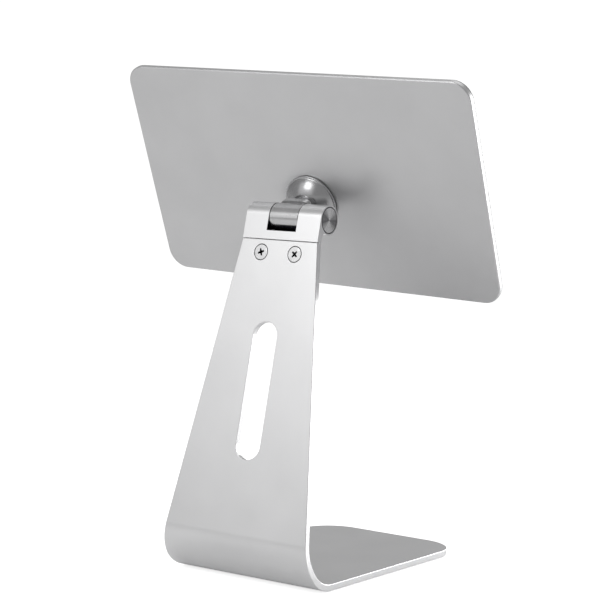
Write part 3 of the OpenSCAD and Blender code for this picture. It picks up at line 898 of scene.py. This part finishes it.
def swivel_dome():
    """The turned boss on the plate, with its thin rim and the lip round the neck."""
    top_r = NECK_R + 1 * MM
    foot_r = DOME_D / 2 - RIM_STEP
    rim_top = RING_T + RIM_T
    centre_z = (foot_r**2 - top_r**2 + rim_top**2 - DOME_H**2) / (2 * (rim_top - DOME_H))
    sphere_r = math.hypot(foot_r, rim_top - centre_z)
    start = math.degrees(math.atan2(rim_top - centre_z, foot_r))
    end = math.degrees(math.atan2(DOME_H - centre_z, top_r))
    cap = [(p.x, p.y, 0) for p in arc((0, centre_z), sphere_r, start, end, 28)[1:-1]]
    outline = [
        (DOME_D / 2 - 0.3 * MM, RING_T, 0),
        (DOME_D / 2, RING_T, 0.15 * MM),
        (DOME_D / 2, rim_top, 0.45 * MM),
        (foot_r + 0.05 * MM, rim_top + 0.02 * MM, 0.12 * MM),
        *cap,
        (top_r, DOME_H, 0.25 * MM),
        (SPIGOT_D / 2 + 0.03 * MM, DOME_H, 0),
        (SPIGOT_D / 2 + 0.03 * MM, DOME_FLOOR, 0),
        (CAVITY_D / 2, DOME_FLOOR, 0.3 * MM),
        (CAVITY_D / 2, RING_T, 0),
    ]
    obj = solid(lathe(outline, swivel_frame), "swivel_dome_turned")
    return piece(obj, "arm", "swivel_dome", "satin_silver", dome_metal_shaded, sharp=28)


def dome_ring():
    """The dark ring under the dome's rim."""
    outer = DOME_D / 2 - 0.5 * MM
    low = 0.03 * MM
    inner, edge = outer - 2 * MM, 0.08 * MM
    outline = [(inner, low, 0), (outer, low, edge), (outer, RING_T, edge), (inner, RING_T, 0)]
    obj = solid(lathe(outline, swivel_frame), "dome_ring_black")
    return piece(obj, "arm", "dome_ring", "black_plastic", ring_black)


# ---- Plate ----


def plate_tray():
    """The plate's metal tray with its chamfered back edge and the pockets under the liner."""
    outline = round_rect(PANEL_W, PANEL_H, [PANEL_R] * 4)
    section = filleted(
        [
            (3 * MM, 0, 0),
            (PANEL_CHAMFER, 0, 0.2 * MM),
            (0, PANEL_CHAMFER, 0.2 * MM),
            (0, PANEL_T, 0.2 * MM),
            (3 * MM, PANEL_T, 0),
        ],
        closed=False,
    )
    layers = [(p.x, p.y) for p in section[1:-1]]
    obj = solid(slab(outline, layers, panel_frame), "plate_tray_finished")
    cuts = [rod(FLANGE_POCKET_D / 2, -PANEL_T - 1 * MM, 1 * MM, swivel_frame)]
    for name in ("keeper_left", "keeper_right"):
        corners = [panel_frame.inverted() @ v.co for v in frame["nodes"][name].data.vertices]
        lo = [min(c[k] for c in corners) - 0.2 * MM for k in range(3)]
        hi = [max(c[k] for c in corners) + (0.2, 0.2, 0)[k] * MM for k in range(3)]
        cuts.append(box((lo[0], lo[1], -PANEL_T - 1 * MM), hi, panel_frame))
    carve(obj, "DIFFERENCE", *cuts)
    return piece(obj, "plate", "plate_tray", "anodised_silver", plate_silver_shaded, sharp=28)


def plate_liner():
    """The soft black liner that the tablet rests on."""
    outline = round_rect(PANEL_W - 2 * LINER_INSET, PANEL_H - 2 * LINER_INSET, [PANEL_R - LINER_INSET] * 4)
    place = panel_frame @ Matrix.Translation((0, 0, -PANEL_T))
    obj = solid(slab(outline, edge_layers(LINER_T, 0.05 * MM, 0.3 * MM), place), "plate_liner_soft")
    return piece(obj, "plate", "plate_liner", "black_liner", liner_black)


def hidden_pieces():
    """The pieces inside keep their CAD shapes and get the finish of their record slot."""
    for node in frame["nodes"].values():
        if not node.hide_render:
            slot = node.data.materials[0].name
            node.data.materials[0] = hidden[slot]


# ---- Studio and camera ----

CAMERA_AZIMUTH = 215.21
CAMERA_ELEVATION = 4.741
CAMERA_ROLL = 1.872
CAMERA_DISTANCE = 1.1763
CAMERA_LENS = 116.01
AIM = Vector((0.0128, 0.0080, 0.1605))


# Each light's name, azimuth and elevation in degrees, distance, width, height and power in watts.
SOFTBOXES = [
    ("back_panel", 157, 20, 1.3, 1.3, 0.76, 1.6),
    ("side_panel", 322, 9, 1.5, 1.0, 0.7, 6.5),
    ("front_panel", 348, 12, 1.5, 0.6, 0.6, 7),
    ("overhead", 10, 78, 1.7, 1.3, 1.3, 4.6),
    ("key", 163, 31, 1.3, 0.5, 0.5, 2.6),
]
# The surround lights the object at SURROUND and is white to the camera. The floor glows by
# FLOOR_GLOW, and by FLOOR_LIFT more when the camera sees it.
SURROUND = 0.44
SEEN_SURROUND = 1.05
FLOOR_LIFT = 0.6
FLOOR_GLOW = 0.08


def direction(azimuth, elevation):
    """The unit vector that points from the object to a place seen at these angles, in degrees."""
    a, e = math.radians(azimuth), math.radians(elevation)
    return Vector((math.sin(a) * math.cos(e), -math.cos(a) * math.cos(e), math.sin(e)))


def softbox(name, azimuth, elevation, distance, width, height, power):
    """A rectangular light that faces the middle of the object."""
    light = bpy.data.lights.new(name, "AREA")
    light.shape = "RECTANGLE"
    light.size, light.size_y = width, height
    light.energy = power
    obj = bpy.data.objects.new(name, light)
    bpy.context.scene.collection.objects.link(obj)
    towards = direction(azimuth, elevation)
    obj.location = AIM + distance * towards
    obj.rotation_mode = "QUATERNION"
    obj.rotation_quaternion = towards.to_track_quat("Z", "Y")
    return obj


def studio():
    """A pale floor that reads as white, an even pale surround and soft lights."""
    bm = bmesh.new()
    bmesh.ops.create_circle(bm, cap_ends=True, segments=96, radius=6)
    floor = solid(bm, "studio_floor")
    look = Look("floor_white", (0.9, 0.9, 0.9), 0.0, 0.7)
    look.set("Emission Color", (1, 1, 1, 1))
    floor_seen = look.node("ShaderNodeLightPath").outputs["Is Camera Ray"]
    glow = look.maths("MULTIPLY_ADD", floor_seen, FLOOR_LIFT, FLOOR_GLOW)
    look.feed(look.shader, "Emission Strength", glow)
    floor.data.materials.append(look.material)

    world = bpy.data.worlds.new("studio_surround")
    bpy.context.scene.world = world
    world.use_nodes = True
    tree = world.node_tree
    shade = tree.nodes["Background"]
    shade.inputs["Color"].default_value = (1, 1, 1, 1)
    seen = tree.nodes.new("ShaderNodeLightPath").outputs["Is Camera Ray"]
    strength = tree.nodes.new("ShaderNodeMapRange")
    strength.inputs["To Min"].default_value = SURROUND
    strength.inputs["To Max"].default_value = SEEN_SURROUND
    tree.links.new(seen, strength.inputs["Value"])
    tree.links.new(strength.outputs["Result"], shade.inputs["Strength"])

    for light in SOFTBOXES:
        softbox(*light)


def camera():
    """The camera, at the angle from which the stand is seen in its product picture."""
    data = bpy.data.cameras.new("product_camera")
    data.lens = CAMERA_LENS
    data.sensor_width = 36
    obj = bpy.data.objects.new("product_camera", data)
    bpy.context.scene.collection.objects.link(obj)
    back = direction(CAMERA_AZIMUTH, CAMERA_ELEVATION)
    obj.rotation_mode = "QUATERNION"
    upright = back.to_track_quat("Z", "Y")
    roll = Matrix.Rotation(math.radians(CAMERA_ROLL), 3, "Z").to_quaternion()
    obj.rotation_quaternion = upright @ roll
    obj.location = AIM + CAMERA_DISTANCE * back
    data.clip_start, data.clip_end = 0.05, 50
    bpy.context.scene.camera = obj


stand_body()
base_pad()
hinge_block()
column_screws()
end_cap("end_cap_left", 1)
end_cap("end_cap_right", -1)
tilt_knuckle()
swivel_dome()
dome_ring()
plate_tray()
plate_liner()
hidden_pieces()
studio()
camera()
bpy.context.scene.view_settings.view_transform = "Standard"
